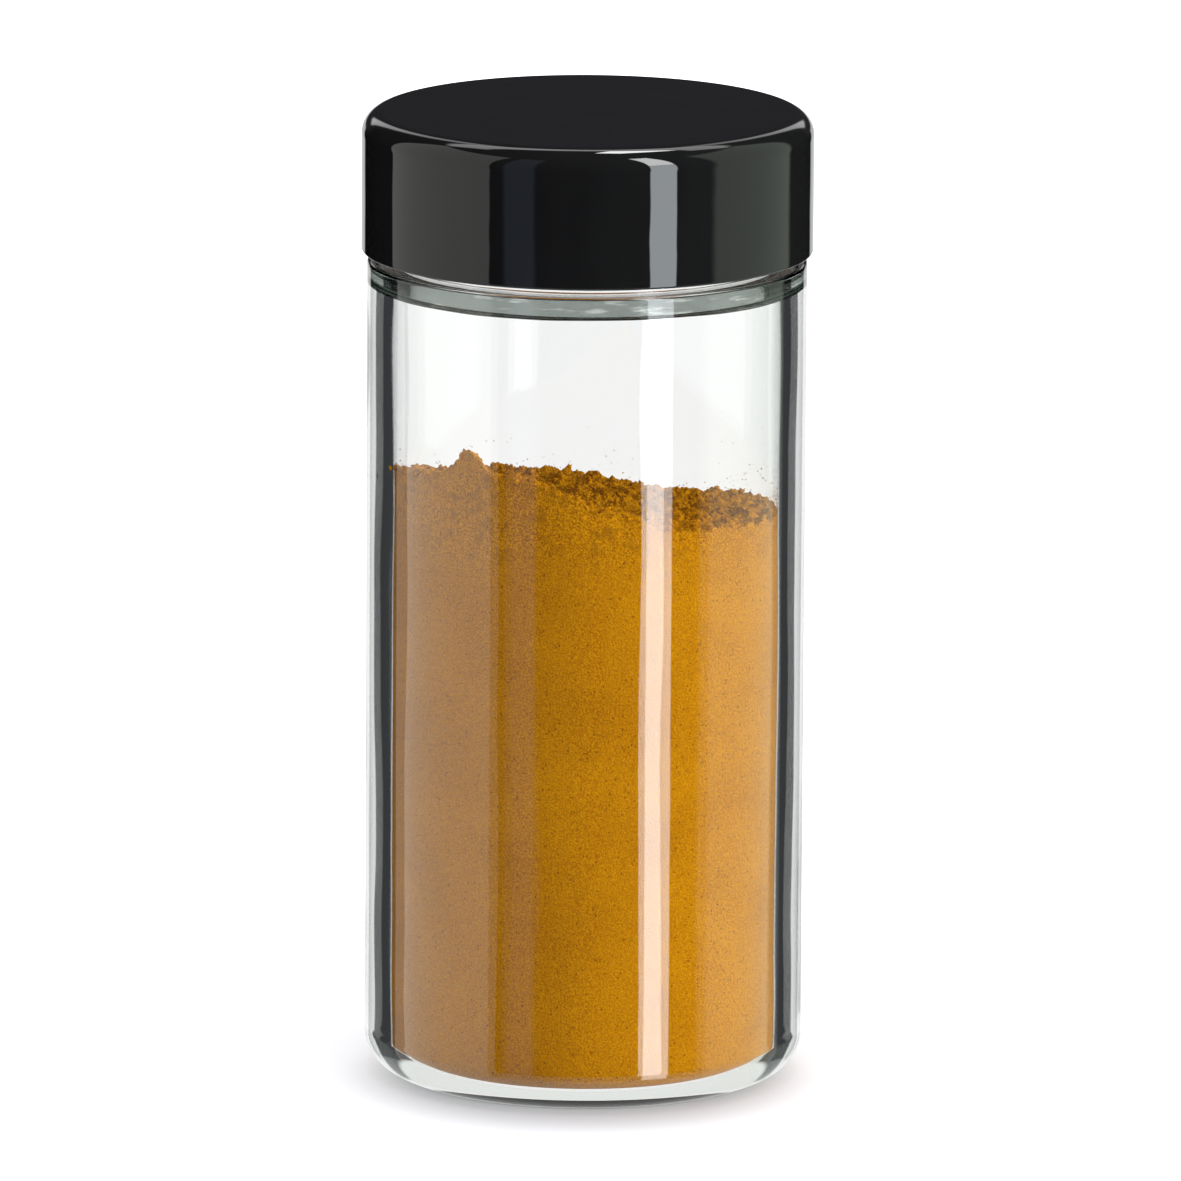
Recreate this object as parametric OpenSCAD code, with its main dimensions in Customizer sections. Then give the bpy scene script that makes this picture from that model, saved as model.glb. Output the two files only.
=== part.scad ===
// Glass spice jar, filled with ground spice and closed with its screw lid.
// Sizes are in millimetres and +Z is up. The origin is the centre of the base,
// on the surface that the jar stands on. The lid is modelled screwed down.

/* [Jar body] */
// Outer diameter of the straight glass wall
body_d = 49.5; // [47:0.1:60]
// Thickness of the straight glass wall
body_wall = 2.95; // [1.8:0.05:3.2]
// Height of the shoulder's flat top face above the base
shoulder_h = 93.3; // [80:0.1:140]
// Thickness of the glass under the shoulder's top face
shoulder_t = 2.8; // [1.6:0.05:4]
// Rounding of the shoulder's outer edge
shoulder_round = 0.5; // [0.3:0.1:1.4]
// Largest rounding of the cavity's ceiling
ceiling_round = 0.1; // [0.1:0.05:2]
// Rounding of the heel, where the wall turns into the base
heel_round = 4.4; // [2:0.1:5]
// Thickness of the base at the foot of the cavity's wall
base_t = 1.9; // [1.6:0.1:6]
// Rounding between the cavity's wall and its floor
floor_round = 2.4; // [1:0.1:4]
// Height of the hollow under the base
push_up = 1.2; // [0.5:0.1:2]
// How much the cavity's floor rises towards its middle
floor_rise = 0.9; // [0.3:0.1:1.5]
// Width of the flat ring that the jar stands on
foot_ring_w = 2.8; // [1.5:0.1:5]

/* [Neck and its thread] */
// Diameter of the opening through the neck
neck_bore_d = 39.8; // [37:0.1:40.8]
// Thickness of the neck's wall without the thread
neck_wall = 1.95; // [1.6:0.05:2.2]
// Height of the neck above the shoulder
neck_h = 13.2; // [12.5:0.1:18]
// Rounding of the rim's two edges
rim_round = 0.5; // [0.2:0.1:0.7]
// Rounding where the neck rises from the shoulder
neck_fillet = 0.3; // [0.3:0.1:0.8]
// Rise of the thread in one turn
thread_pitch = 4.2; // [3.8:0.1:5]
// Radial height of the neck's thread
thread_depth = 1.0; // [0.7:0.05:1.2]
// Width of the flat top of either thread
thread_crest_w = 0.9; // [0.6:0.1:1.1]
// Turns of thread on the neck
neck_thread_turns = 1.25; // [1:0.05:1.4]
// Turns of thread in the lid
lid_thread_turns = 1.3; // [1:0.05:1.4]
// Depth of the thread's upper end below the rim
thread_drop = 2.3; // [2:0.1:3]

/* [Screw lid] */
// Thickness of the outer shell
shell_wall = 1.2; // [0.8:0.05:2]
// Rounding of the shell's top edge
shell_round = 2.5; // [1.5:0.1:4]
// Rounding of the shell's bottom edge
shell_edge_round = 0.25; // [0.1:0.05:0.4]
// Gap left between the shell's bottom edge and the shoulder
skirt_gap = 0.95; // [0.6:0.05:2]
// Thickness of the threaded insert's skirt
insert_wall = 0.95; // [0.9:0.05:2]
// Thickness of the insert's top plate
insert_top_t = 1.0; // [0.9:0.05:2]
// Thickness of the sealing disc
liner_t = 1.2; // [0.6:0.1:2]
// Height that the insert's skirt stops above the shell's bottom edge
insert_recess = 1.1; // [1.1:0.1:2]
// Number of keys that stop the insert turning in the shell
key_count = 8; // [4:1:12]
// Width of one key
key_w = 2.0; // [1:0.1:4]

/* [Clearances] */
// Radial gap between the neck's thread and the insert's skirt
thread_gap = 0.32; // [0.2:0.02:0.5]
// Radial gap between the lid's thread and the neck
crest_gap = 0.35; // [0.2:0.05:0.6]
// Gap between the closed threads' bearing flanks
flank_gap = 0.1; // [0.05:0.05:0.3]
// Gap all round between the shell and the insert
shell_gap = 0.1; // [0.05:0.05:0.2]
// Radial gap round the sealing disc
liner_gap = 0.55; // [0.5:0.05:0.8]
// Gap between the spice and the glass
spice_gap = 0.2; // [0.1:0.05:0.4]

/* [Ground spice] */
// Level of the spice in the middle of the jar
spice_level = 67.5; // [30:0.5:76]
// Rise of the spice's top for each millimetre towards the left and the front
spice_slope = 0.05; // [0:0.01:0.1]

/* [Hidden] */

$fn = 96;
eps = 0.01;

body_r = body_d / 2;
cavity_r = body_r - body_wall;
bore_r = neck_bore_d / 2;
neck_r = bore_r + neck_wall;
rim_z = shoulder_h + neck_h;
ceiling_z = shoulder_h - shoulder_t;
ceiling_r = min(ceiling_round, (cavity_r - bore_r) / 2);
foot_r = body_r - heel_round;

// Radii of the screw closure, from the neck outwards
thread_r = neck_r + thread_depth;
insert_in_r = thread_r + thread_gap;
insert_out_r = insert_in_r + insert_wall;
shell_in_r = insert_out_r + shell_gap;
lid_r = shell_in_r + shell_wall;
lid_crest_r = neck_r + crest_gap;

// Heights of the screw closure, from the shoulder upwards
lid_bottom_z = shoulder_h + skirt_gap;
insert_bottom_z = lid_bottom_z + insert_recess;
liner_top_z = rim_z + liner_t;
insert_top_z = liner_top_z + insert_top_t;
ceiling_in_z = insert_top_z + shell_gap;
lid_top_z = ceiling_in_z + shell_wall;

// Roundings inside the lid follow the shell's outer one
shell_in_round = max(shell_round - shell_wall, 0.2);
insert_round = shell_in_round + 0.7;
insert_in_round = 0.4;

// The thread's flanks lean by this much for each millimetre of height
flank_slope = 0.6;
thread_sink = 0.3;
thread_fade_angle = 25;
thread_step_angle = 5;
neck_thread_top_z = rim_z - thread_drop;
neck_thread_low_z = neck_thread_top_z - thread_pitch * neck_thread_turns;
// Axial distance from the middle of the neck's thread down to the lid's thread
flank_lean = flank_slope * (insert_in_r - neck_r);
thread_offset = thread_crest_w + flank_slope * thread_depth
    + flank_slope * (insert_in_r - lid_crest_r) - flank_lean + flank_gap;
// The lid's thread starts this many degrees before the neck's does
lid_thread_lead = 120;

// The snap bead under the insert's edge holds it in the shell
bead_r = 0.4;
bead_reach = 0.3;

spice_r = cavity_r - spice_gap;
spice_floor_z = base_t + spice_gap;
spice_ring_count = 8;
spice_sector_count = 40;
spice_crust = 12;
// Heaps and dips in the spice's top: [x, y, height, spread]
spice_heaps = [
    [-9.5, -19, 5.0, 3.4],
    [-17, -13, 3.0, 5.0],
    [-3.5, -20, 1.6, 3.2],
    [9, -19, -2.0, 4.0],
    [14, -16, 1.4, 2.6],
    [19, -11, -1.2, 2.4],
    [-2, 3, 1.0, 7.0],
    [8, 14, -1.0, 6.0]
];

glass_c = [0.80, 0.86, 0.83, 0.4];
spice_c = [0.78, 0.50, 0.06];
shell_c = [0.03, 0.03, 0.035];
insert_c = [0.85, 0.85, 0.83];
liner_c = [0.90, 0.90, 0.88];

// What a rounding leaves outside it in a square corner. Its tip is at the
// origin, and it lies on the low side of both axes.
module corner_waste(r) {
    difference() {
        translate([-r, -r]) square(r + eps);
        translate([-r, -r]) circle(r);
    }
}

// A rectangle from the axis out to r, between two heights
module band(r, z0, z1) {
    translate([0, z0]) square([r, z1 - z0]);
}

// The waste of an outer top edge at radius r and height z
module top_edge_waste(r, z, round) {
    translate([r, z]) corner_waste(round);
}

// The waste of an outer bottom edge at radius r and height z
module bottom_edge_waste(r, z, round) {
    translate([r, z]) mirror([0, 1]) corner_waste(round);
}

// The waste of an inner top edge at radius r and height z
module bore_edge_waste(r, z, round) {
    translate([r, z]) mirror([1, 0]) corner_waste(round);
}

// The waste of an inner bottom edge, and the fillet of a foot on a flat
module foot_waste(r, z, round) {
    translate([r, z]) mirror([1, 0]) mirror([0, 1]) corner_waste(round);
}

// Radius of the dome that rises by h over the radius a
function dome_r(a, h) = (a * a + h * h) / (2 * h);

module jar_outside() {
    difference() {
        band(body_r, 0, shoulder_h);
        top_edge_waste(body_r, shoulder_h, shoulder_round);
        bottom_edge_waste(body_r, 0, heel_round);
        jar_push_up();
    }
    difference() {
        band(neck_r, ceiling_z, rim_z);
        top_edge_waste(neck_r, rim_z, rim_round);
    }
    foot_waste(neck_r, shoulder_h, neck_fillet);
}

module jar_push_up() {
    ring_in_r = foot_r - foot_ring_w;
    r = dome_r(ring_in_r, push_up);
    translate([0, push_up - r]) circle(r, $fn = 360);
}

module jar_cavity() {
    floor_flat_r = cavity_r - floor_round;
    r = dome_r(floor_flat_r, floor_rise);
    difference() {
        band(cavity_r, base_t, ceiling_z);
        top_edge_waste(cavity_r, ceiling_z, ceiling_r);
        bottom_edge_waste(cavity_r, base_t, floor_round);
        translate([0, base_t + floor_rise - r]) circle(r, $fn = 360);
    }
    band(bore_r, ceiling_z - eps, rim_z + eps);
    foot_waste(bore_r, ceiling_z, ceiling_r);
    bore_edge_waste(bore_r, rim_z, rim_round);
}

// The cross-section of a thread at one station, as [radius, height] corners.
// The crest is at crest_r, and the flanks run straight on into the wall at base_r.
function thread_section(base_r, crest_r, share) =
    let (
        reach = (crest_r - base_r) * share,
        tip_r = base_r + reach,
        root_r = base_r - sign(crest_r - base_r) * thread_sink,
        half_tip = thread_crest_w / 2,
        half_root = half_tip + flank_slope * abs(tip_r - root_r)
    )
    [[root_r, -half_root], [tip_r, -half_tip], [tip_r, half_tip], [root_r, half_root]];

// How much of its full height a thread has at an angle from its start
function thread_share(a, whole) =
    let (end = min(a, whole - a))
    end >= thread_fade_angle ? 1 : 0.15 + 0.85 * sin(90 * end / thread_fade_angle);

// A thread ridge that climbs from low_z, starting at the angle start
module thread_ridge(base_r, crest_r, turns, low_z, start) {
    whole = 360 * turns;
    stations = ceil(whole / thread_step_angle);
    corners = 4;
    points = [
        for (i = [0:stations])
            let (
                a = whole * i / stations,
                z = low_z + thread_pitch * a / 360
            )
            for (p = thread_section(base_r, crest_r, thread_share(a, whole)))
                [p[0] * cos(start + a), p[0] * sin(start + a), z + p[1]]
    ];
    sides = [
        for (i = [0:stations - 1])
            for (k = [0:corners - 1])
                let (
                    n = (k + 1) % corners,
                    near = i * corners,
                    far = near + corners
                )
                for (f = [[near + k, near + n, far + n], [near + k, far + n, far + k]])
                    f
    ];
    last = stations * corners;
    first_cap = [for (k = [1:corners - 2]) [0, k + 1, k]];
    last_cap = [for (k = [1:corners - 2]) [last, last + k, last + k + 1]];
    faces = concat(sides, first_cap, last_cap);
    // Facets face outwards when the ridge points away from the axis
    flip = crest_r < base_r;
    polyhedron(points, flip ? [for (f = faces) [f[0], f[2], f[1]]] : faces, convexity = 4);
}

module glass_jar() {
    color(glass_c) {
        difference() {
            rotate_extrude($fn = 180) jar_outside();
            rotate_extrude($fn = 180) jar_cavity();
        }
        thread_ridge(neck_r, thread_r, neck_thread_turns, neck_thread_low_z, 0);
    }
}

// Height of the spice's top at a place in the jar
function spice_top(x, y) =
    spice_level - spice_slope * (x + y)
    + addends([for (h = spice_heaps)
        h[2] * exp(-(pow(x - h[0], 2) + pow(y - h[1], 2)) / (2 * h[3] * h[3]))]);

function addends(v, i = 0) = i < len(v) ? v[i] + addends(v, i + 1) : 0;

// The uneven upper layer of the spice, closed below at the height low_z
module spice_mound(r, low_z) {
    n = spice_sector_count;
    ring = [
        for (i = [1:spice_ring_count])
            for (j = [0:n - 1])
                let (
                    x = r * i / spice_ring_count * cos(360 * j / n),
                    y = r * i / spice_ring_count * sin(360 * j / n)
                )
                [x, y, spice_top(x, y)]
    ];
    foot = [for (j = [0:n - 1]) [r * cos(360 * j / n), r * sin(360 * j / n), low_z]];
    points = concat([[0, 0, spice_top(0, 0)]], ring, foot);
    edge = 1 + (spice_ring_count - 1) * n;
    base = 1 + spice_ring_count * n;
    faces = concat(
        [for (j = [0:n - 1]) [0, 1 + (j + 1) % n, 1 + j]],
        [for (i = [0:spice_ring_count - 2])
            for (j = [0:n - 1])
                let (k = (j + 1) % n, a = 1 + i * n, b = a + n)
                for (f = [[a + j, a + k, b + k], [a + j, b + k, b + j]])
                    f],
        [for (j = [0:n - 1])
            let (k = (j + 1) % n)
            for (f = [[edge + j, edge + k, base + k], [edge + j, base + k, base + j]])
                f],
        [[for (j = [0:n - 1]) base + j]]
    );
    polyhedron(points, faces, convexity = 4);
}

module spice_column() {
    floor_flat_r = spice_r - floor_round;
    r = dome_r(floor_flat_r, floor_rise);
    difference() {
        band(spice_r, spice_floor_z, spice_level - spice_crust);
        bottom_edge_waste(spice_r, spice_floor_z, floor_round);
        translate([0, spice_floor_z + floor_rise - r]) circle(r, $fn = 360);
    }
}

module ground_spice() {
    color(spice_c) {
        rotate_extrude($fn = 180) spice_column();
        spice_mound(spice_r - spice_gap / 4, spice_level - spice_crust - 1);
    }
}

module shell_profile() {
    difference() {
        band(lid_r, lid_bottom_z, lid_top_z);
        top_edge_waste(lid_r, lid_top_z, shell_round);
        bottom_edge_waste(lid_r, lid_bottom_z, shell_edge_round);
        difference() {
            band(shell_in_r, lid_bottom_z - eps, ceiling_in_z);
            top_edge_waste(shell_in_r, ceiling_in_z, shell_in_round);
            translate([shell_in_r + bead_r - bead_reach, lid_bottom_z + insert_recess / 2])
                circle(bead_r);
        }
    }
}

// Blocks in the corner between the lid's top and skirt, grown by a gap
module lid_keys(gap) {
    inner_r = shell_in_r - 0.8;
    outer_r = shell_in_r + 0.1;
    low_z = ceiling_in_z - 0.8;
    high_z = ceiling_in_z + 0.1;
    for (i = [0:key_count - 1])
        rotate([0, 0, 360 * i / key_count])
            translate([inner_r - gap, -key_w / 2 - gap, low_z - gap])
                cube([outer_r - inner_r + gap, key_w + 2 * gap, high_z - low_z + gap]);
}

module lid_shell() {
    color(shell_c) {
        rotate_extrude($fn = 180) shell_profile();
        lid_keys(0);
    }
}

module insert_profile() {
    difference() {
        band(insert_out_r, insert_bottom_z, insert_top_z);
        top_edge_waste(insert_out_r, insert_top_z, insert_round);
        difference() {
            band(insert_in_r, insert_bottom_z - eps, liner_top_z);
            top_edge_waste(insert_in_r, liner_top_z, insert_in_round);
        }
    }
}

module lid_insert() {
    color(insert_c) {
        difference() {
            rotate_extrude($fn = 180) insert_profile();
            lid_keys(shell_gap);
        }
        thread_ridge(
            insert_in_r, lid_crest_r, lid_thread_turns,
            neck_thread_low_z - thread_offset - thread_pitch * lid_thread_lead / 360,
            -lid_thread_lead
        );
    }
}

module lid_liner() {
    color(liner_c)
        translate([0, 0, rim_z])
            cylinder(r = insert_in_r - liner_gap, h = liner_t, $fn = 180);
}

glass_jar();
ground_spice();
lid_shell();
lid_insert();
lid_liner();
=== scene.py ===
import logging
import math
from collections.abc import Callable, Mapping, Sequence
from dataclasses import dataclass, field
from enum import Enum

import bpy
from mathutils import Matrix, Vector, noise


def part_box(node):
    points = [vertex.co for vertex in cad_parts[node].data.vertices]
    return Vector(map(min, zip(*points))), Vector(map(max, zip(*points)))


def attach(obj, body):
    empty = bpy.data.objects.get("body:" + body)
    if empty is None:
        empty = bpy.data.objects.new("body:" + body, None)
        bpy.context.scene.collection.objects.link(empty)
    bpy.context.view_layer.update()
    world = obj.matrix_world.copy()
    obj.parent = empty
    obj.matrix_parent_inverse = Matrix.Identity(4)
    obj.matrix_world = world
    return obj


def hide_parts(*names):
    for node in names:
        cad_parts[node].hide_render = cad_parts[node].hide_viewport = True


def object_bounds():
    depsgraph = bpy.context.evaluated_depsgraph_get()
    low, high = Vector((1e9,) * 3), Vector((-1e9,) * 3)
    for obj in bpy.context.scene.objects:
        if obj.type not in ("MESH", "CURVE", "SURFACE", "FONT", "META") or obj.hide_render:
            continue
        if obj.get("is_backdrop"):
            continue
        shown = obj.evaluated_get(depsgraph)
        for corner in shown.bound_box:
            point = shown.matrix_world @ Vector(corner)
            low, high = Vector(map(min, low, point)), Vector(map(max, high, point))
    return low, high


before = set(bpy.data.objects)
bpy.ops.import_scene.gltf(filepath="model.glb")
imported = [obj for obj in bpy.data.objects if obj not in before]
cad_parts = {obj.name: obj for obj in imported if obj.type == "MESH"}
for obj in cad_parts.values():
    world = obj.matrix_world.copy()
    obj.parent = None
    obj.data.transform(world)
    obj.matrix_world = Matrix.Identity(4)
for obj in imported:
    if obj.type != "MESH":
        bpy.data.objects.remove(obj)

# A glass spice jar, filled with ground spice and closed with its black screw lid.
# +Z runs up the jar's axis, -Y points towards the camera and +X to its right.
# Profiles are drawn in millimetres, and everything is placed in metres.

LOG = logging.getLogger("spice_jar")
MM = 0.001

Colour = tuple[float, float, float]
Point = tuple[float, float]


class Body(Enum):
    """The bodies that move on their own."""

    JAR = "jar"
    LINER = "liner"
    LID = "lid"


class Slot(Enum):
    """The record's material slots."""

    GLASS = "clear_glass"
    SPICE = "ground_spice"
    SHELL = "black_shell"
    INSERT = "white_insert"
    FOAM = "liner_foam"


# Node writing


@dataclass(frozen=True)
class Wire:
    """An output socket that can be calculated with."""

    writer: "NodeWriter"
    socket: bpy.types.NodeSocket

    def __add__(self, other: "Wire | float") -> "Wire":
        """The sum of two values."""
        return self.writer.math("ADD", self, other)

    def __radd__(self, other: float) -> "Wire":
        """The sum of two values."""
        return self.writer.math("ADD", other, self)

    def __sub__(self, other: "Wire | float") -> "Wire":
        """The difference of two values."""
        return self.writer.math("SUBTRACT", self, other)

    def __rsub__(self, other: float) -> "Wire":
        """The difference of two values."""
        return self.writer.math("SUBTRACT", other, self)

    def __mul__(self, other: "Wire | float") -> "Wire":
        """The product of two values."""
        return self.writer.math("MULTIPLY", self, other)

    def __rmul__(self, other: float) -> "Wire":
        """The product of two values."""
        return self.writer.math("MULTIPLY", other, self)

    def __truediv__(self, other: "Wire | float") -> "Wire":
        """The quotient of two values."""
        return self.writer.math("DIVIDE", self, other)


@dataclass(frozen=True)
class NodeWriter:
    """Adds nodes to one node tree and links them."""

    tree: bpy.types.NodeTree

    def node(
        self, kind: str, inputs: Mapping[str | int, object] | None = None, **settings: object
    ) -> bpy.types.Node:
        """Adds a node.

        Args:
            kind: The node's type name.
            inputs: What feeds each input, a wire or a plain value, by name or index.
            **settings: The node's own properties.

        Returns:
            The new node.
        """
        made = self.tree.nodes.new(kind)
        for name, value in settings.items():
            setattr(made, name, value)
        for key, value in (inputs or {}).items():
            self.feed(made.inputs[key], value)
        return made

    def feed(self, socket: bpy.types.NodeSocket, value: object) -> None:
        """Links a wire to an input, or sets its plain value.

        Args:
            socket: The input.
            value: A wire or a plain value.
        """
        if isinstance(value, Wire):
            self.tree.links.new(value.socket, socket)
        else:
            socket.default_value = value

    def wire(
        self,
        kind: str,
        inputs: Mapping[str | int, object] | None = None,
        output: str | int = 0,
        **settings: object,
    ) -> Wire:
        """Adds a node and gives one of its outputs.

        Args:
            kind: The node's type name.
            inputs: What feeds each input.
            output: The output's name or index.
            **settings: The node's own properties.

        Returns:
            The output as a wire.
        """
        return Wire(self, self.node(kind, inputs, **settings).outputs[output])

    def math(self, operation: str, *values: "Wire | float") -> Wire:
        """Adds a Math node with these operands."""
        return self.wire("ShaderNodeMath", dict(enumerate(values)), operation=operation)

    def ease(self, value: Wire, start: "Wire | float", end: "Wire | float") -> Wire:
        """A smooth step from 0 where value is start to 1 where it is end."""
        feeds = {0: value, 1: start, 2: end}
        return self.wire("ShaderNodeMapRange", feeds, interpolation_type="SMOOTHSTEP")

    def ramp(self, value: Wire, start: "Wire | float", end: "Wire | float") -> Wire:
        """A straight ramp from 0 where value is start to 1 where it is end."""
        return self.wire("ShaderNodeMapRange", {0: value, 1: start, 2: end})

    def split(self, vector: Wire) -> tuple[Wire, Wire, Wire]:
        """The three components of a vector."""
        parts = self.node("ShaderNodeSeparateXYZ", {0: vector})
        return tuple(Wire(self, parts.outputs[i]) for i in range(3))

    def join(self, x: "Wire | float", y: "Wire | float", z: "Wire | float") -> Wire:
        """A vector of three components."""
        return self.wire("ShaderNodeCombineXYZ", {0: x, 1: y, 2: z})

    def blend(self, share: "Wire | float", first: object, second: object) -> Wire:
        """A mix of two colours, first where share is 0 and second where it is 1."""
        feeds = {0: share, 6: opaque(first), 7: opaque(second)}
        return self.wire("ShaderNodeMix", feeds, 2, data_type="RGBA")

    def place(self, group: bpy.types.NodeTree, inputs: Mapping[str, object]) -> Wire:
        """Places a shader node group with its own values and gives its first output."""
        made = self.tree.nodes.new("ShaderNodeGroup")
        made.node_tree = group
        for name, value in inputs.items():
            self.feed(made.inputs[name], value)
        return Wire(self, made.outputs[0])


def opaque(colour: object) -> object:
    """A plain colour with full alpha, or the wire as it is."""
    return colour if isinstance(colour, Wire) else (*colour, 1.0)


def new_group(
    kind: str, name: str, inputs: Mapping[str, str | float], output: tuple[str, str]
) -> tuple[NodeWriter, dict[str, Wire], bpy.types.Node]:
    """Makes a node group with named sockets.

    Args:
        kind: The tree's type name.
        name: The group's name.
        inputs: Each input's default value, or its kind of socket where it has none.
        output: The output's name and kind of socket.

    Returns:
        The group's writer, its inputs by name and its output node.
    """
    tree = bpy.data.node_groups.new(name, kind)
    for label, value in inputs.items():
        kind_of_input = value if isinstance(value, str) else SOCKET_KINDS[type(value)]
        socket = tree.interface.new_socket(
            label, in_out="INPUT", socket_type=f"NodeSocket{kind_of_input}"
        )
        if not isinstance(value, str):
            socket.default_value = value
    tree.interface.new_socket(output[0], in_out="OUTPUT", socket_type=f"NodeSocket{output[1]}")
    writer = NodeWriter(tree)
    entry = writer.node("NodeGroupInput")
    wires = {label: Wire(writer, entry.outputs[label]) for label in inputs}
    return writer, wires, writer.node("NodeGroupOutput")


SOCKET_KINDS = {float: "Float", int: "Int", tuple: "Vector"}


# Effects that several finishes share


@dataclass(frozen=True)
class Effects:
    """The shader node groups that the finishes place with their own values."""

    drift: bpy.types.NodeTree
    specks: bpy.types.NodeTree

    @classmethod
    def make(cls) -> "Effects":
        """Builds every group once."""
        return cls(cls.make_drift(), cls.make_specks())

    @staticmethod
    def make_drift() -> bpy.types.NodeTree:
        """A slow change over the surface, between -1 and 1."""
        inputs = {"Vector": "Vector", "Size": 10.0, "Stretch": (1.0, 1.0, 1.0), "Detail": 2.0}
        writer, wires, exit_node = new_group(
            "ShaderNodeTree", "slow_drift", inputs, ("Drift", "Float")
        )
        place = writer.wire(
            "ShaderNodeVectorMath",
            {0: wires["Vector"], 1: wires["Stretch"]},
            operation="MULTIPLY",
        )
        waves = 1000.0 / wires_value(wires["Size"])
        cloud = writer.wire(
            "ShaderNodeTexNoise",
            {"Vector": place, "Scale": waves, "Detail": wires["Detail"], "Roughness": 0.5},
        )
        writer.feed(exit_node.inputs[0], cloud * 2.0 - 1.0)
        return writer.tree

    @staticmethod
    def make_specks() -> bpy.types.NodeTree:
        """Scattered small grains, 1 inside a grain and 0 between them."""
        inputs = {"Vector": "Vector", "Spacing": 1.0, "Share": 0.2, "Grain": 0.3}
        writer, wires, exit_node = new_group(
            "ShaderNodeTree", "scattered_specks", inputs, ("Mask", "Float")
        )
        cells = writer.node(
            "ShaderNodeTexVoronoi",
            {"Vector": wires["Vector"], "Scale": 1000.0 / wires_value(wires["Spacing"])},
        )
        pick = writer.wire("ShaderNodeSeparateColor", {0: Wire(writer, cells.outputs["Color"])})
        chosen = writer.math("LESS_THAN", pick, wires["Share"])
        near = writer.ease(
            Wire(writer, cells.outputs["Distance"]), wires["Grain"], wires["Grain"] * 0.5
        )
        writer.feed(exit_node.inputs[0], chosen * near)
        return writer.tree


def wires_value(wire: Wire) -> "Denominator":
    """Lets a plain number be divided by a wire."""
    return Denominator(wire)


@dataclass(frozen=True)
class Denominator:
    """A wire that a plain number is divided by."""

    wire: Wire

    def __rtruediv__(self, other: float) -> Wire:
        """The quotient of a plain number and the wire."""
        return self.wire.writer.math("DIVIDE", other, self.wire)


# Finishes


def new_material(name: str) -> tuple[bpy.types.Material, NodeWriter, bpy.types.Node]:
    """Makes an empty node material.

    Args:
        name: The material's name.

    Returns:
        The material, its writer and its output node.
    """
    material = bpy.data.materials.new(name)
    material.use_nodes = True
    material.node_tree.nodes.clear()
    writer = NodeWriter(material.node_tree)
    return material, writer, writer.node("ShaderNodeOutputMaterial")


def object_place(writer: NodeWriter, height: float = 0.0) -> Wire:
    """Object coordinates, centred on a height of the jar's axis."""
    source = writer.wire("ShaderNodeTexCoord", output="Object")
    return writer.wire("ShaderNodeMapping", {"Vector": source, "Location": (0, 0, -height)})


def bump(writer: NodeWriter, height: Wire, distance: float, strength: float = 1.0) -> Wire:
    """A normal bent by a height, whose full change is distance metres."""
    feeds = {"Height": height, "Distance": distance, "Strength": strength}
    return writer.wire("ShaderNodeBump", feeds)


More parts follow.
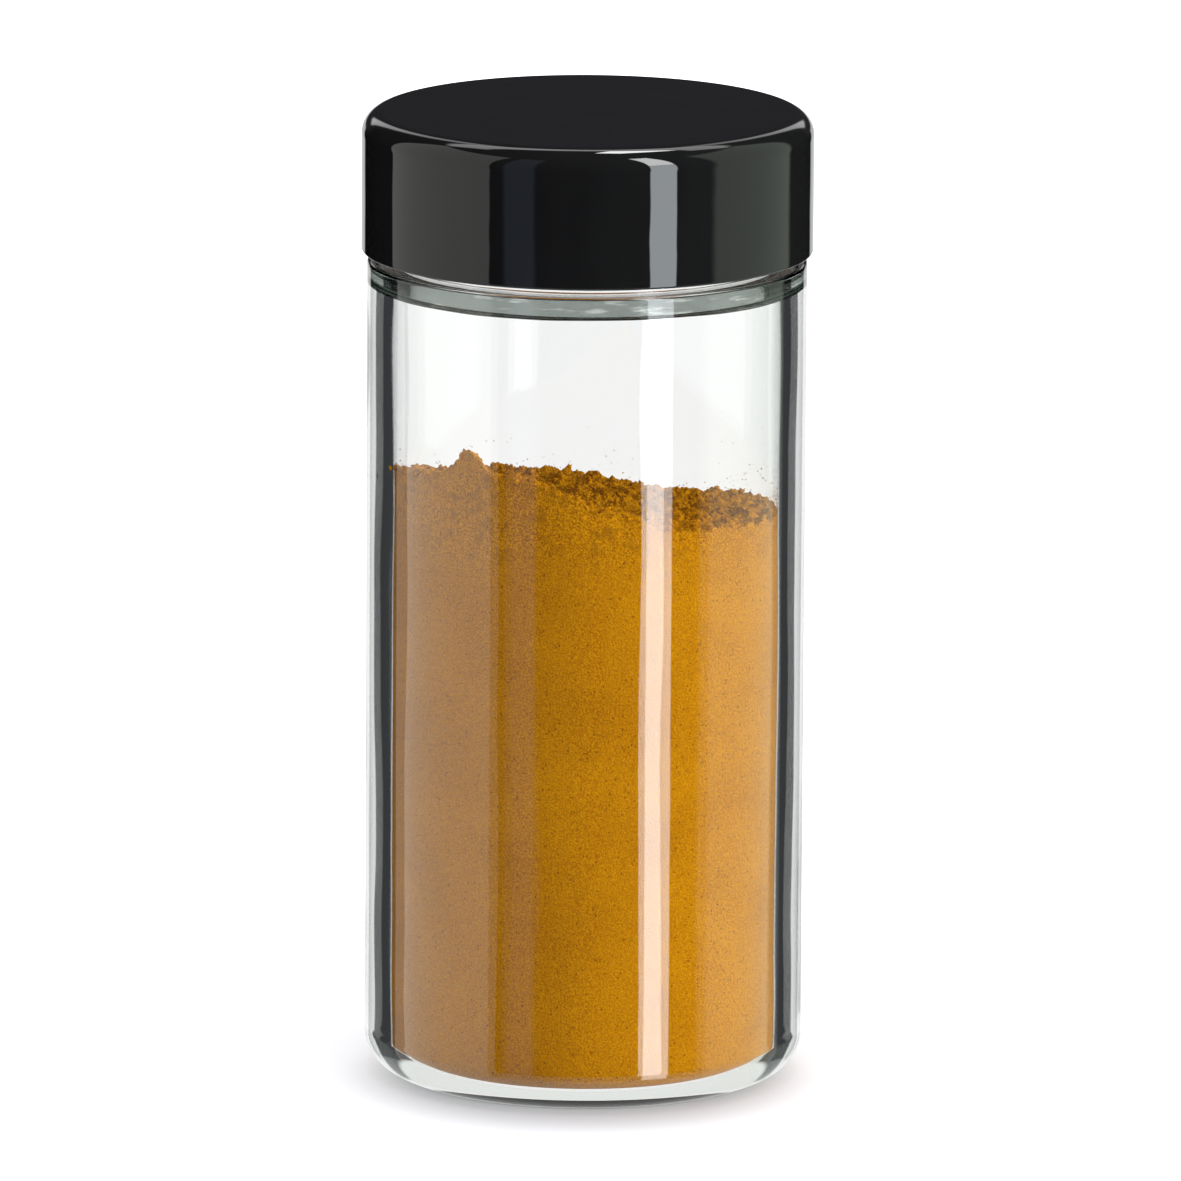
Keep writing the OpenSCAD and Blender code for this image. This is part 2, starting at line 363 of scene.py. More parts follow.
@dataclass(frozen=True)
class ClearGlass:
    """Clear flint glass with a faint green in its thick edges."""

    effects: Effects
    body: Colour = (0.995, 0.997, 0.996)
    index: float = 1.52
    edge_tint: Colour = (0.70, 0.94, 0.84)
    edge_density: float = 10.0
    lamp_share: float = 0.93
    # Painted reflection on the shoulder: a grey-green stripe, lighter painted glints and painted
    # dark edge lines, laid into the glass colour.
    painted_band_grey: Colour = (0.085, 0.103, 0.092)
    painted_band_glint: Colour = (0.30, 0.33, 0.30)
    painted_band_dark_line: Colour = (0.002, 0.002, 0.002)
    painted_band_from: float = 90.70 * MM
    painted_band_to: float = 93.02 * MM
    painted_band_r: float = 24.4 * MM

    def material(self) -> bpy.types.Material:
        """Builds the glass. Light for the spice goes straight through its walls."""
        material, writer, exit_node = new_material("clear_glass")
        place = object_place(writer)
        drift = writer.place(self.effects.drift, {"Vector": place, "Size": 16.0, "Detail": 1.0})
        pale = tuple(c * 0.985 for c in self.body)
        colour = writer.blend(drift * 0.5 + 0.5, pale, self.body)
        # The shoulder's refraction and reflection are painted into the glass colour.
        colour = self.paint_shoulder_reflection(writer, place, colour)
        glass = writer.wire(
            "ShaderNodeBsdfPrincipled",
            {
                "Base Color": colour,
                "Roughness": 0.0,
                "IOR": self.index,
                "Transmission Weight": 1.0,
                "Normal": bump(writer, drift, 0.01 * MM),
            },
        )
        clear = writer.wire("ShaderNodeBsdfTransparent", {"Color": (self.lamp_share,) * 3 + (1,)})
        paths = writer.node("ShaderNodeLightPath")
        for kind in ("Is Shadow Ray", "Is Diffuse Ray"):
            feeds = {0: Wire(writer, paths.outputs[kind]), 1: glass, 2: clear}
            glass = writer.wire("ShaderNodeMixShader", feeds)
        absorbed = writer.wire(
            "ShaderNodeVolumeAbsorption",
            {"Color": (*self.edge_tint, 1), "Density": self.edge_density},
        )
        writer.feed(exit_node.inputs["Surface"], glass)
        writer.feed(exit_node.inputs["Volume"], absorbed)
        return material

    def paint_shoulder_reflection(self, writer: NodeWriter, place: Wire, colour: Wire) -> Wire:
        """Lays a painted reflection of the thick shoulder over the wall's colour: a grey-green
        stripe with lighter painted glints and painted dark edge lines.

        Args:
            writer: The material's writer.
            place: The object coordinates.
            colour: The colour of the rest of the glass.

        Returns:
            The whole jar's colour.
        """
        x, y, z = writer.split(place)
        radius = writer.math("SQRT", x * x + y * y)
        sag = writer.place(self.effects.drift, {"Vector": place, "Size": 14.0, "Detail": 1.0})
        streak = writer.place(
            self.effects.drift,
            {"Vector": place, "Size": 5.0, "Stretch": (1.0, 1.0, 7.0), "Detail": 3.0},
        )
        low = self.painted_band_from + sag * (0.25 * MM)
        inside = (
            writer.ease(z, low - 0.03 * MM, low + 0.03 * MM)
            * writer.ease(z, self.painted_band_to + 0.14 * MM, self.painted_band_to + 0.08 * MM)
            * writer.ease(radius, self.painted_band_r - 0.06 * MM, self.painted_band_r)
        )
        within = writer.ease(z, low + 0.12 * MM, low + 0.2 * MM) * writer.ease(
            z, self.painted_band_to, self.painted_band_to - 0.08 * MM
        )
        streaks = writer.ease(streak, 0.1, 0.5)
        # Painted reflection: grey-green with lighter painted glints, edged by painted dark lines.
        grey = writer.blend(streaks, self.painted_band_grey, self.painted_band_glint)
        painted_band_colour = writer.blend(within, self.painted_band_dark_line, grey)
        return writer.blend(inside, colour, painted_band_colour)


@dataclass(frozen=True)
class GroundSpice:
    """Fine orange-yellow powder with darker and paler grains."""

    effects: Effects
    powder: Colour = (0.60, 0.245, 0.001)
    shade: Colour = (0.33, 0.112, 0.0005)
    grain: Colour = (0.13, 0.038, 0.003)
    pale_grain: Colour = (0.66, 0.33, 0.02)
    # A darker brown laid in patches over the spice's top 7 mm.
    top_band: Colour = (0.27, 0.10, 0.003)
    top_band_from: float = 60.0 * MM
    top_band_to: float = 67.0 * MM

    def material(self) -> bpy.types.Material:
        """Builds the powder's colours and its grainy surface."""
        material, writer, exit_node = new_material("ground_spice")
        place = object_place(writer)
        effects = self.effects
        slow = writer.place(effects.drift, {"Vector": place, "Size": 9.0, "Detail": 3.0})
        fine = writer.place(effects.drift, {"Vector": place, "Size": 0.19, "Detail": 2.0})
        dark = writer.place(
            effects.specks, {"Vector": place, "Spacing": 0.34, "Share": 0.09, "Grain": 0.42}
        )
        dusky = writer.place(
            effects.specks, {"Vector": place, "Spacing": 0.19, "Share": 0.22, "Grain": 0.45}
        )
        pale = writer.place(
            effects.specks, {"Vector": place, "Spacing": 0.28, "Share": 0.10, "Grain": 0.4}
        )
        lumps = writer.place(effects.drift, {"Vector": place, "Size": 1.6, "Detail": 4.0})
        height = writer.split(place)[2]
        near_top = writer.ease(height + slow * 0.004, self.top_band_from, self.top_band_to)
        top_patches = writer.ease(lumps, 0.0, 0.35) * near_top
        grit = slow * 0.3 + fine * (near_top + 1.0)
        colour = writer.blend(writer.ramp(grit, -0.45, 0.45), self.shade, self.powder)
        # Darker brown patches over the top 7 mm, where the lumps rise.
        colour = writer.blend(top_patches * 0.6, colour, self.top_band)
        colour = writer.blend(dusky * 0.3, colour, self.grain)
        colour = writer.blend(dark * 0.7, colour, self.grain)
        colour = writer.blend(pale * 0.35, colour, self.pale_grain)
        relief = fine * 0.5 + lumps * (near_top * 2.0) + dark * 0.3
        powder = writer.wire(
            "ShaderNodeBsdfPrincipled",
            {
                "Base Color": colour,
                "Roughness": 0.95,
                "Specular IOR Level": 0.1,
                "Normal": bump(writer, relief, 0.12 * MM),
            },
        )
        writer.feed(exit_node.inputs["Surface"], powder)
        return material


@dataclass(frozen=True)
class BlackPlastic:
    """Black plastic, from mirror-gloss to satin."""

    effects: Effects
    name: str
    black: Colour = (0.0058, 0.0058, 0.0062)
    roughness: float = 0.02
    unevenness: float = 0.01
    wave: float = 5.0
    wave_height: float = 0.012 * MM
    grain_height: float = 0.0

    def material(self) -> bpy.types.Material:
        """Builds the plastic with its slight waves and fine grain."""
        material, writer, exit_node = new_material(self.name)
        place = object_place(writer)
        drift = writer.place(
            self.effects.drift, {"Vector": place, "Size": self.wave, "Detail": 1.0}
        )
        grain = writer.place(
            self.effects.drift, {"Vector": place, "Size": 0.25, "Detail": 2.0}
        )
        wiped = writer.place(
            self.effects.drift,
            {"Vector": place, "Size": 5.0, "Stretch": (1.0, 1.0, 0.3), "Detail": 3.0},
        )
        lighter = tuple(c * 1.35 for c in self.black)
        colour = writer.blend(writer.ramp(wiped, -0.6, 0.6), self.black, lighter)
        rough = writer.ramp(wiped, -0.5, 1.0) * self.unevenness + self.roughness
        waves = bump(writer, drift, self.wave_height)
        if self.grain_height:
            waves = writer.wire(
                "ShaderNodeBump",
                {"Height": grain, "Distance": self.grain_height, "Normal": waves},
            )
        plastic = writer.wire(
            "ShaderNodeBsdfPrincipled",
            {"Base Color": colour, "Roughness": rough, "IOR": 1.5, "Normal": waves},
        )
        writer.feed(exit_node.inputs["Surface"], plastic)
        return material


@dataclass(frozen=True)
class LinerFoam:
    """White foam with fine pores, pressed into a faint ring by the rim."""

    effects: Effects
    white: Colour = (0.80, 0.79, 0.76)
    pore: Colour = (0.62, 0.61, 0.58)
    ring_r: float = 20.9 * MM
    ring_half: float = 0.9 * MM

    def material(self) -> bpy.types.Material:
        """Builds the foam's pores and its ring."""
        material, writer, exit_node = new_material("liner_foam")
        place = object_place(writer)
        x, y, _ = writer.split(place)
        radius = writer.math("SQRT", x * x + y * y)
        pressed = writer.ease(
            writer.math("ABSOLUTE", radius - self.ring_r), self.ring_half, self.ring_half * 0.5
        )
        pores = writer.place(
            self.effects.specks, {"Vector": place, "Spacing": 0.35, "Share": 0.5, "Grain": 0.45}
        )
        colour = writer.blend(pores * 0.6 + pressed * 0.3, self.white, self.pore)
        foam = writer.wire(
            "ShaderNodeBsdfPrincipled",
            {
                "Base Color": colour,
                "Roughness": 0.85,
                "Normal": bump(writer, 0.0 - pores * 0.3 - pressed, 0.15 * MM),
            },
        )
        writer.feed(exit_node.inputs["Surface"], foam)
        return material


# Shapes that turn about the jar's axis


@dataclass
class Outline:
    """A profile in the half plane of radius and height, in millimetres."""

    points: list[Point] = field(default_factory=list)
    hold: float = 0.05

    def to(self, radius: float, height: float, step: float = 1e9) -> "Outline":
        """Runs straight on to a point, with a holding row near either end.

        Args:
            radius: The point's radius.
            height: The point's height.
            step: The most that two rows lie apart.

        Returns:
            This outline.
        """
        if not self.points:
            self.points.append((radius, height))
            return self
        here = self.points[-1]
        length = math.dist(here, (radius, height))
        count = max(1, math.ceil(length / step))
        shares = [i / count for i in range(1, count + 1)]
        if length > 6 * self.hold:
            near = self.hold / length
            inner = [s for s in shares if near < s < 1 - near]
            shares = [near, *inner, 1 - near, 1.0]
        for s in shares:
            self.points.append(
                (here[0] + (radius - here[0]) * s, here[1] + (height - here[1]) * s)
            )
        return self

    def turn(
        self, centre: Point, radius: float, start: float, end: float, rows: int = 8
    ) -> "Outline":
        """Follows an arc.

        Args:
            centre: The arc's centre, as radius and height.
            radius: The arc's own radius.
            start: The angle where it starts, in degrees from the outward direction.
            end: The angle where it ends.
            rows: How many rows it has.

        Returns:
            This outline.
        """
        for i in range(rows + 1):
            angle = math.radians(start + (end - start) * i / rows)
            place = (
                centre[0] + radius * math.cos(angle),
                centre[1] + radius * math.sin(angle),
            )
            if i == 0:
                self.to(*place)
            else:
                self.points.append(place)
        return self

    def dome(self, radius: float, foot: float, rise: float, inwards: bool, rows: int) -> None:
        """Follows a shallow dome between the axis and a radius.

        Args:
            radius: The radius at the dome's foot.
            foot: The height at its foot.
            rise: How much its middle is higher.
            inwards: Whether it runs from the foot to the axis.
            rows: How many rows it has.
        """
        ball = (radius**2 + rise**2) / (2 * rise)
        for i in range(rows + 1):
            share = (rows - i) / rows if inwards else i / rows
            across = radius * share
            height = foot + rise - ball + math.sqrt(ball**2 - across**2)
            self.points.append((across, height))

    def mesh(self, name: str) -> bpy.types.Mesh:
        """The profile's points as a mesh of bare vertices, in metres."""
        made = bpy.data.meshes.new(name)
        made.from_pydata([(r * MM, 0.0, z * MM) for r, z in self.points], [], [])
        return made


@dataclass(frozen=True)
class Thread:
    """A screw ridge on a wall. A negative depth points it towards the axis."""

    root_r: float
    depth: float
    start_z: float
    pitch: float
    turns: float
    start_turn: float = 0.0
    crest: float = 0.9
    lean: float = 0.6
    fade: float = 0.09

    def inputs(self) -> dict[str, float]:
        """The turned shape's inputs for this thread."""
        return {
            "Thread Root": self.root_r * MM,
            "Thread Depth": self.depth * MM,
            "Thread Start": self.start_z * MM,
            "Thread Pitch": self.pitch * MM,
            "Thread Turns": self.turns,
            "Thread Start Turn": self.start_turn,
            "Thread Crest": self.crest * MM,
            "Thread Lean": self.lean,
            "Thread Fade": self.fade,
        }


def turned_tree() -> bpy.types.NodeTree:
    """Geometry Nodes that turn a profile about the axis, with a thread and slow waves.

    The profile comes in as bare vertices, one for each row of the turned grid.
    """
    inputs: dict[str, str | float] = {
        "Profile": "Geometry",
        "Columns": 256,
        "Thread Root": 0.0,
        "Thread Depth": 0.0,
        "Thread Start": 0.0,
        "Thread Pitch": 0.004,
        "Thread Turns": 0.0,
        "Thread Start Turn": 0.0,
        "Thread Crest": 0.001,
        "Thread Lean": 0.5,
        "Thread Fade": 0.1,
        "Wave Height Inside": 0.0,
        "Wave Height Outside": 0.0,
        "Wave Size": 0.02,
        "Wave Low": 0.0,
        "Wave High": 1.0,
        "Wave Wall": 0.0,
        "Material": "Material",
    }
    writer, wires, exit_node = new_group(
        "GeometryNodeTree", "turned_profile", inputs, ("Turned", "Geometry")
    )
    rows = writer.wire(
        "GeometryNodeAttributeDomainSize", {0: wires["Profile"]}, "Point Count"
    )
    columns = wires["Columns"]
    grid = writer.wire(
        "GeometryNodeMeshGrid", {"Vertices X": columns + 1.0, "Vertices Y": rows}
    )
    index = writer.wire("GeometryNodeInputIndex")
    column = writer.math("FLOOR", index / rows)
    row = index - column * rows
    place = writer.wire(
        "GeometryNodeSampleIndex",
        {
            "Geometry": wires["Profile"],
            "Value": writer.wire("GeometryNodeInputPosition"),
            "Index": row,
        },
        data_type="FLOAT_VECTOR",
    )
    radius, _, height = writer.split(place)
    turn = column / columns
    angle = turn * math.tau
    across, along = writer.math("COSINE", angle), writer.math("SINE", angle)
    ridge = thread_height(writer, wires, turn, height)
    on_root = writer.math(
        "LESS_THAN", writer.math("ABSOLUTE", radius - wires["Thread Root"]), 0.02 * MM
    )
    radius = radius + ridge * on_root * wires["Thread Depth"]
    still = writer.join(radius * across, radius * along, height * 0.6)
    waves = [
        writer.wire(
            "ShaderNodeTexNoise",
            {
                "Vector": still,
                "W": seed,
                "Scale": 1.0 / wires_value(wires["Wave Size"]),
                "Detail": 1.0,
                "Roughness": 0.4,
            },
            noise_dimensions="4D",
        )
        - 0.5
        for seed in (3.1, 7.7)
    ]
    outside = writer.math("GREATER_THAN", radius, wires["Wave Wall"])
    swell = (
        waves[0] * wires["Wave Height Inside"] * (1.0 - outside)
        + waves[1] * wires["Wave Height Outside"] * outside
    )
    edge = 8 * MM
    low, high = wires["Wave Low"], wires["Wave High"]
    zone = writer.ease(height, low, low + edge) * writer.ease(height, high, high - edge)
    radius = radius + swell * zone * 2.0
    placed = writer.wire(
        "GeometryNodeSetPosition",
        {"Geometry": grid, "Position": writer.join(radius * across, radius * along, height)},
    )
    closed = writer.wire("GeometryNodeMergeByDistance", {"Geometry": placed, "Distance": 1e-6})
    smooth = writer.wire("GeometryNodeSetShadeSmooth", {"Geometry": closed})
    real = writer.wire("GeometryNodeRealizeInstances", {"Geometry": smooth})
    dressed = writer.wire(
        "GeometryNodeSetMaterial", {"Geometry": real, "Material": wires["Material"]}
    )
    writer.feed(exit_node.inputs[0], dressed)
    return writer.tree


def thread_height(
    writer: NodeWriter, wires: Mapping[str, Wire], turn: Wire, height: Wire
) -> Wire:
    """The share of its full height that a thread has at a place on the wall.

    Args:
        writer: The tree's writer.
        wires: The tree's inputs by name.
        turn: The place's angle, in turns.
        height: The place's height.

    Returns:
        The share, from 0 to 1.
    """
    half_crest = wires["Thread Crest"] * 0.5
    foot = half_crest + wires["Thread Lean"] * writer.math("ABSOLUTE", wires["Thread Depth"])
    start = writer.math("FRACT", turn - wires["Thread Start Turn"])
    ridge: Wire | float = 0.0
    for whole in range(2):
        run = start + float(whole)
        middle = wires["Thread Start"] + run * wires["Thread Pitch"]
        section = writer.ease(writer.math("ABSOLUTE", height - middle), foot, half_crest)
        end = writer.math("MINIMUM", run, wires["Thread Turns"] - run)
        section = section * writer.ease(end, 0.0, wires["Thread Fade"])
        ridge = writer.math("MAXIMUM", ridge, section)
    return ridge


def grown(
    name: str, tree: bpy.types.NodeTree, base: bpy.types.Mesh, values: Mapping[str, object]
) -> bpy.types.Object:
    """Runs a Geometry Nodes tree on a mesh and keeps the result as a plain mesh.

    Args:
        name: The new object's name.
        tree: The tree.
        base: The mesh that the tree starts from.
        values: The tree's inputs by name.

    Returns:
        The object, without its modifier.
    """
    made = bpy.data.objects.new(name, base)
    bpy.context.scene.collection.objects.link(made)
    modifier = made.modifiers.new(tree.name, "NODES")
    modifier.node_group = tree
    sockets = {
        item.name: item.identifier
        for item in tree.interface.items_tree
        if item.item_type == "SOCKET" and item.in_out == "INPUT"
    }
    for label, value in values.items():
        modifier[sockets[label]] = value
    evaluated = made.evaluated_get(bpy.context.evaluated_depsgraph_get())
    made.data = bpy.data.meshes.new_from_object(evaluated)
    made.data.name = name
    made.modifiers.clear()
    return made


def settle(piece: bpy.types.Object, body: Body, slot: Slot, *nodes: str) -> None:
    """Rides a finished piece on its body and hides the CAD nodes that it stands for.

    Args:
        piece: The finished piece.
        body: The body that it moves with.
        slot: The record's slot for its finish; not used.
        *nodes: The CAD nodes that it stands for.
    """
    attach(piece, body.value)
    if nodes:
        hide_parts(*nodes)
    faces = len(piece.data.polygons)
    LOG.info("%s rides on %s with %d faces", piece.name, body.value, faces)


# The pieces


@dataclass
class GlassJar:
    """The glass jar with its threaded neck. Lengths are in millimetres."""

    finish: ClearGlass
    turned: bpy.types.NodeTree
    wall: float = 2.95
    base: float = 1.9
    floor_rise: float = 0.9
    push_up: float = 1.2
    heel: float = 4.4
    floor_round: float = 2.4
    foot_ring: float = 2.8
    neck: float = 13.2
    neck_r: float = 21.85
    bore_r: float = 19.9
    shoulder_t: float = 2.8
    shoulder_round: float = 0.5
    neck_fillet: float = 0.3
    ceiling_round: float = 0.1
    rim_round: float = 0.5
    thread_depth: float = 1.0
    thread_pitch: float = 4.2
    thread_turns: float = 1.25
    thread_drop: float = 2.3

    def __post_init__(self) -> None:
        """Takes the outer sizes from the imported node."""
        low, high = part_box("glass_jar")
        self.radius = (high.x - low.x) / 2 / MM
        self.rim_z = high.z / MM
        self.shoulder_z = self.rim_z - self.neck
        self.cavity_r = self.radius - self.wall
        self.ceiling_z = self.shoulder_z - self.shoulder_t
        self.foot_r = self.radius - self.heel

    def outline(self) -> Outline:
        """The jar's profile, from under the base over the rim to the floor inside."""
        line = Outline()
        line.dome(self.foot_r - self.foot_ring, 0.0, self.push_up, inwards=False, rows=24)
        line.turn((self.foot_r, self.heel), self.heel, -90, 0, rows=16)
        edge = self.shoulder_round
        line.to(self.radius, self.shoulder_z - edge, step=1.2)
        line.turn((self.radius - edge, self.shoulder_z - edge), edge, 0, 90, rows=8)
        foot = self.neck_fillet
        line.turn((self.neck_r + foot, self.shoulder_z + foot), foot, -90, -180, rows=8)
        lip = self.rim_round
        line.to(self.neck_r, self.rim_z - lip, step=0.2)
        line.turn((self.neck_r - lip, self.rim_z - lip), lip, 0, 90, rows=6)
        line.turn((self.bore_r + lip, self.rim_z - lip), lip, 90, 180, rows=6)
        bend = self.ceiling_round
        line.turn((self.bore_r + bend, self.ceiling_z + bend), bend, 180, 270, rows=8)
        line.turn((self.cavity_r - bend, self.ceiling_z - bend), bend, 90, 0, rows=8)
        hollow = self.floor_round
        line.to(self.cavity_r, self.base + hollow, step=1.2)
        line.turn((self.cavity_r - hollow, self.base + hollow), hollow, 0, -90, rows=10)
        line.dome(self.cavity_r - hollow, self.base, self.floor_rise, inwards=True, rows=16)
        return line

    def build(self) -> None:
        """Builds the jar as one closed skin of glass."""
        top_z = self.rim_z - self.thread_drop
        thread = Thread(
            self.neck_r,
            self.thread_depth,
            top_z - self.thread_pitch * self.thread_turns,
            self.thread_pitch,
            self.thread_turns,
        )
        values = thread.inputs() | {
            "Columns": 256,
            "Wave Height Inside": 0.13 * MM,
            "Wave Height Outside": 0.02 * MM,
            "Wave Size": 17 * MM,
            "Wave Low": 3.0 * MM,
            "Wave High": (self.ceiling_z + 1) * MM,
            "Wave Wall": (self.radius - self.wall / 2) * MM,
            "Material": self.finish.material(),
        }
        piece = grown("jar_glass", self.turned, self.outline().mesh("jar_profile"), values)
        settle(piece, Body.JAR, Slot.GLASS, "glass_jar")


@dataclass(frozen=True)
class Heap:
    """A heap or a dip in the spice's top, in millimetres."""

    x: float
    y: float
    height: float
    spread: float

    def lift(self, x: float, y: float) -> float:
        """How much this heap lifts the top at a place."""
        apart = (x - self.x) ** 2 + (y - self.y) ** 2
        return self.height * math.exp(-apart / (2 * self.spread**2))


@dataclass
class SpiceFill:
    """The ground spice, its crumbs and the dust that it leaves on the glass."""

    finish: GroundSpice
    level: float = 66.6
    slope: Point = (0.06, 0.085)
    floor_rise: float = 0.9
    floor_round: float = 2.3
    sectors: int = 400
    rings: int = 84
    crust_rows: int = 26
    top_band: float = 7.0
    wall_rows: int = 14
    lumps: float = 0.85
    heaps: Sequence[Heap] = (
        Heap(-13, -18, 3.4, 1.8),
        Heap(-11, -17, 2.6, 5.0),
        Heap(-6, -20, 1.9, 3.0),
        Heap(-1, -21, 0.7, 3.0),
        Heap(-19, -9, 2.4, 4.5),
        Heap(9, -19, -1.3, 4.0),
        Heap(17, -13, -0.9, 4.5),
        Heap(-2, 3, 0.8, 7.0),
        Heap(9, 19, -1.5, 6.0),
    )

    def __post_init__(self) -> None:
        """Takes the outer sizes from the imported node."""
        low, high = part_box("ground_spice")
        self.radius = (high.x - low.x) / 2 / MM
        self.floor_z = low.z / MM

    def top(self, x: float, y: float) -> float:
        """The height of the spice's top at a place, with its lumps."""
        plain = self.level - self.slope[0] * x - self.slope[1] * y
        plain += sum(heap.lift(x, y) for heap in self.heaps)
        place = Vector((x, y, 0.0))
        coarse = noise.fractal(place * 0.55, 0.9, 2.1, 5)
        fine = noise.turbulence(place * 1.9, 3, False)
        return plain + self.lumps * coarse + 0.35 * self.lumps * (fine - 0.5)

    def rows(self, angle: float) -> list[tuple[float, float]]:
        """The radius and height of each row at an angle, from the axis to the floor."""
        c, s = math.cos(angle), math.sin(angle)
        found = []
        for i in range(1, self.rings + 1):
            r = self.radius * (i / self.rings) ** 0.8
            found.append((r, self.top(r * c, r * s)))
        edge_z = found[-1][1]
        for i in range(1, self.crust_rows + 1):
            z = edge_z - self.top_band * (i / self.crust_rows) ** 1.3
            place = Vector((self.radius * c, self.radius * s, z))
            rough = max(0.0, noise.turbulence(place * 0.9, 3, False) - 0.35)
            fade = 1 - i / self.crust_rows
            found.append((self.radius - 0.45 * rough * fade, z))
        corner_z = self.floor_z + self.floor_round
        wall_z = edge_z - self.top_band
        for i in range(1, self.wall_rows + 1):
            found.append((self.radius, wall_z + (corner_z - wall_z) * i / self.wall_rows))
        bend = Outline()
        flat_r = self.radius - self.floor_round
        bend.turn((flat_r, corner_z), self.floor_round, 0, -90, rows=8)
        bend.dome(flat_r, self.floor_z, self.floor_rise, inwards=True, rows=10)
        return found + bend.points[1:-1]

    def mesh(self) -> bpy.types.Mesh:
        """The spice as one closed mesh."""
        fan = [math.tau * j / self.sectors for j in range(self.sectors)]
        columns = [self.rows(angle) for angle in fan]
        count = len(columns[0])
        points = [(0.0, 0.0, self.top(0.0, 0.0))]
        points.append((0.0, 0.0, self.floor_z + self.floor_rise))
        for angle, column in zip(fan, columns):
            points += [(r * math.cos(angle), r * math.sin(angle), z) for r, z in column]
        faces: list[tuple[int, ...]] = []
        for j in range(self.sectors):
            here, there = 2 + j * count, 2 + (j + 1) % self.sectors * count
            faces.append((0, here, there))
            faces.append((1, there + count - 1, here + count - 1))
            faces += [
                (here + i, here + i + 1, there + i + 1, there + i) for i in range(count - 1)
            ]
        made = bpy.data.meshes.new("spice")
        made.from_pydata([tuple(v * MM for v in p) for p in points], [], faces)
        made.shade_smooth()
        return made

    def bare_wall(self, columns: int = 180, span: float = 16.0) -> bpy.types.Mesh:
        """The glass wall's inside above the spice's edge, as an open strip.

        Args:
            columns: How many columns it has.
            span: Its height.

        Returns:
            The strip, whose points know how far they lie above the edge.
        """
        reach = self.radius - 0.05
        points, faces, rises = [], [], []
        for i in range(columns):
            angle = math.tau * i / columns
            across, along = reach * math.cos(angle), reach * math.sin(angle)
            edge_z = self.top(across, along) - 0.3
            points += [(across * MM, along * MM, z * MM) for z in (edge_z, edge_z + span)]
            rises += [0.0, span * MM / (1 + 0.6 * across / reach)]
            after = (i + 1) % columns
            faces.append((2 * i, 2 * after, 2 * after + 1, 2 * i + 1))
        made = bpy.data.meshes.new("bare_wall")
        made.from_pydata(points, [], faces)
        made.attributes.new("rise", "FLOAT", "POINT").data.foreach_set("value", rises)
        return made

    def build(self) -> None:
        """Builds the powder, the crumbs on it and the dust on the glass."""
        material = self.finish.material()
        powder = bpy.data.objects.new("spice_powder", self.mesh())
        bpy.context.scene.collection.objects.link(powder)
        powder.data.materials.append(material)
        tree = crumbs_tree()
        crumbs = grown(
            "spice_crumbs",
            tree,
            powder.data.copy(),
            {
                "Density": 1.5e6,
                "Lowest": (self.level - 6) * MM,
                "Smallest": 0.10 * MM,
                "Largest": 0.55 * MM,
                "Seed": 11,
                "Material": material,
            },
        )
        dust = grown(
            "spice_dust",
            tree,
            self.bare_wall(),
            {
                "Density": 5e6,
                "Upward": -2.0,
                "Fade": 1.3 * MM,
                "Smallest": 0.025 * MM,
                "Largest": 0.12 * MM,
                "Seed": 23,
                "Material": material,
            },
        )
        settle(powder, Body.JAR, Slot.SPICE, "ground_spice")
        settle(crumbs, Body.JAR, Slot.SPICE)
        settle(dust, Body.JAR, Slot.SPICE)


